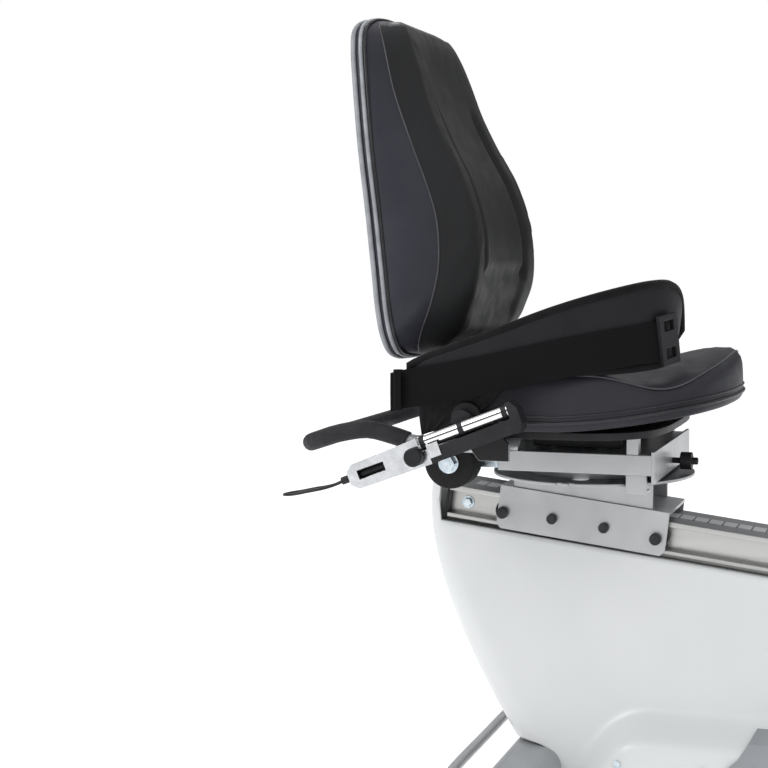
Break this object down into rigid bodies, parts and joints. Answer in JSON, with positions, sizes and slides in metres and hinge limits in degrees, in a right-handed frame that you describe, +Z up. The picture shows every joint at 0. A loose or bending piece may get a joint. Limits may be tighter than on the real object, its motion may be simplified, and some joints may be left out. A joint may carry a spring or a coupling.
{
  "type": "training machine seat unit",
  "caption": "Swivelling, reclining seat on an inclined slide rail, with belt, rear grab bar, fold-up side arms and a faired base that bolts to a training unit.",
  "frame": {"origin": "on the floor, at the middle of the unit's length and width", "axes": "+X forward along the machine, away from the backrest; +Y to the sitter's left; +Z up"},
  "size_m": [1.2268, 0.62, 1.0807],
  "materials": {
    "rail": "satin anodised extrusion",
    "scale_strip": "matt printed strip with plain graduations",
    "zinc": "blue-white zinc plate",
    "silver_paint": "fine silver powder coat",
    "grey_paint": "satin grey powder coat",
    "grey_plastic": "moulded grey",
    "white_shell": "moulded white, soft gloss",
    "step_pad": "moulded dark grey, fine grain",
    "black_plastic": "moulded black",
    "black_screw": "black oxide socket screws",
    "rubber": "solid rubber",
    "grip_foam": "soft foam grip",
    "chrome": "polished",
    "side_vinyl": "blue-charcoal upholstery vinyl",
    "centre_fabric": "charcoal coated fabric",
    "belt_fabric": "black padded fabric",
    "webbing": "woven webbing"
  },
  "bodies": {
    "base": {"seat_rail": "rail", "rail_end_caps": "black_plastic", "rail_scale": "scale_strip", "rail_bolts": "zinc", "main_beam": "grey_paint", "support_legs": "grey_paint", "floor_bars": "grey_paint", "floor_bar_caps": "grey_plastic", "feet": "rubber", "lift_handle": "silver_paint", "front_flange": "grey_paint", "fairing_right": "white_shell", "fairing_left": "white_shell", "skirts": "white_shell", "step_pads": "step_pad", "cover_screws": "zinc", "wheel_brackets": "grey_paint"},
    "wheels": {"transport_wheels": "rubber"},
    "carriage": {"saddle": "silver_paint", "riser": "silver_paint", "saddle_screws": "black_screw", "guide_pads": "black_plastic", "swivel_plate": "silver_paint", "lock_ring": "silver_paint", "king_bolt": "zinc"},
    "guide_roller_1": {"guide_roller_1": "black_plastic"},
    "guide_roller_2": {"guide_roller_2": "black_plastic"},
    "guide_roller_3": {"guide_roller_3": "black_plastic"},
    "guide_roller_4": {"guide_roller_4": "black_plastic"},
    "seat": {"seat_frame": "silver_paint", "swivel_bearing": "zinc", "front_plate": "silver_paint", "keepers": "silver_paint", "seat_posts": "silver_paint", "seat_pan": "black_plastic", "seat_cushion": "side_vinyl", "pivot_brackets": "silver_paint", "grab_bar": "silver_paint", "grab_grip": "grip_foam", "roller_mounts": "zinc", "back_bracket": "silver_paint", "belt_pad": "belt_fabric", "belt_strap": "webbing", "belt_buckle": "black_plastic"},
    "backrest": {"back_post": "silver_paint", "back_shell": "black_plastic", "back_cushion": "side_vinyl"},
    "seat_roller_right": {"seat_roller_right": "rubber"},
    "seat_roller_left": {"seat_roller_left": "rubber"},
    "swivel_lock": {"lock_plunger": "black_plastic"},
    "arm_right": {"arm_right": "black_plastic", "arm_rod_right": "chrome", "arm_latch_right": "silver_paint"},
    "arm_left": {"arm_left": "black_plastic", "arm_rod_left": "chrome", "arm_latch_left": "silver_paint"},
    "knob_right": {"clamp_knob_right": "black_plastic"},
    "knob_left": {"clamp_knob_left": "black_plastic"},
    "pull_right": {"latch_pull_right": "black_plastic"},
    "pull_left": {"latch_pull_left": "black_plastic"}
  },
  "joints": [
    {"name": "seat_slide", "type": "slide", "parent": "base", "child": "carriage", "axis": [0.9928, 0, -0.1196], "range_m": [-0.03, 0.34]},
    {"name": "wheel_spin", "type": "hinge", "parent": "base", "child": "wheels", "pos_m": [0.522, 0, 0.04], "axis": [0, 1, 0], "continuous": true},
    {"name": "seat_swivel", "type": "hinge", "parent": "carriage", "child": "seat", "pos_m": [-0.24, 0, 0.48], "axis": [0, 0, 1], "range_deg": [-90, 90]},
    {"name": "backrest_recline", "type": "hinge", "parent": "seat", "child": "backrest", "pos_m": [-0.468, 0, 0.5], "axis": [0, -1, 0], "range_deg": [0, 20]},
    {"name": "seat_roller_right_spin", "type": "hinge", "parent": "seat", "child": "seat_roller_right", "pos_m": [-0.399, -0.148, 0.478], "axis": [0, 1, 0], "continuous": true},
    {"name": "seat_roller_left_spin", "type": "hinge", "parent": "seat", "child": "seat_roller_left", "pos_m": [-0.399, 0.148, 0.478], "axis": [0, 1, 0], "continuous": true},
    {"name": "swivel_lock_push", "type": "slide", "parent": "seat", "child": "swivel_lock", "axis": [1, 0, 0], "range_m": [-0.009, 0]},
    {"name": "guide_roller_1_roll", "type": "hinge", "parent": "carriage", "child": "guide_roller_1", "pos_m": [-0.35401, -0.0435, 0.39707], "axis": [0, 1, 0], "range_deg": [-130, 1320]},
    {"name": "guide_roller_2_roll", "type": "hinge", "parent": "carriage", "child": "guide_roller_2", "pos_m": [-0.14055, -0.0435, 0.37135], "axis": [0, 1, 0], "range_deg": [-130, 1320]},
    {"name": "guide_roller_3_roll", "type": "hinge", "parent": "carriage", "child": "guide_roller_3", "pos_m": [-0.35401, 0.0435, 0.39707], "axis": [0, 1, 0], "range_deg": [-130, 1320]},
    {"name": "guide_roller_4_roll", "type": "hinge", "parent": "carriage", "child": "guide_roller_4", "pos_m": [-0.14055, 0.0435, 0.37135], "axis": [0, 1, 0], "range_deg": [-130, 1320]},
    {"name": "arm_right_swing", "type": "hinge", "parent": "seat", "child": "arm_right", "pos_m": [-0.355, -0.26, 0.546], "axis": [0, -1, 0], "range_deg": [-10, 65]},
    {"name": "knob_right_turn", "type": "hinge", "parent": "arm_right", "child": "knob_right", "pos_m": [-0.40981, -0.26, 0.49941], "axis": [0, 1, 0], "range_deg": [-180, 180]},
    {"name": "pull_right_slide", "type": "slide", "parent": "arm_right", "child": "pull_right", "axis": [-0.9317, 0, -0.3633], "range_m": [0, 0.008], "stiffness_N_per_m": 400},
    {"name": "arm_left_swing", "type": "hinge", "parent": "seat", "child": "arm_left", "pos_m": [-0.355, 0.26, 0.546], "axis": [0, -1, 0], "range_deg": [-10, 65]},
    {"name": "knob_left_turn", "type": "hinge", "parent": "arm_left", "child": "knob_left", "pos_m": [-0.40981, 0.26, 0.49941], "axis": [0, 1, 0], "range_deg": [-180, 180]},
    {"name": "pull_left_slide", "type": "slide", "parent": "arm_left", "child": "pull_left", "axis": [-0.9317, 0, -0.3633], "range_m": [0, 0.008], "stiffness_N_per_m": 400}
  ],
  "couplings": [
    {"joint": "guide_roller_1_roll", "follows": "seat_slide", "rad_per_m": 66.667},
    {"joint": "guide_roller_2_roll", "follows": "seat_slide", "rad_per_m": 66.667},
    {"joint": "guide_roller_3_roll", "follows": "seat_slide", "rad_per_m": 66.667},
    {"joint": "guide_roller_4_roll", "follows": "seat_slide", "rad_per_m": 66.667}
  ]
}
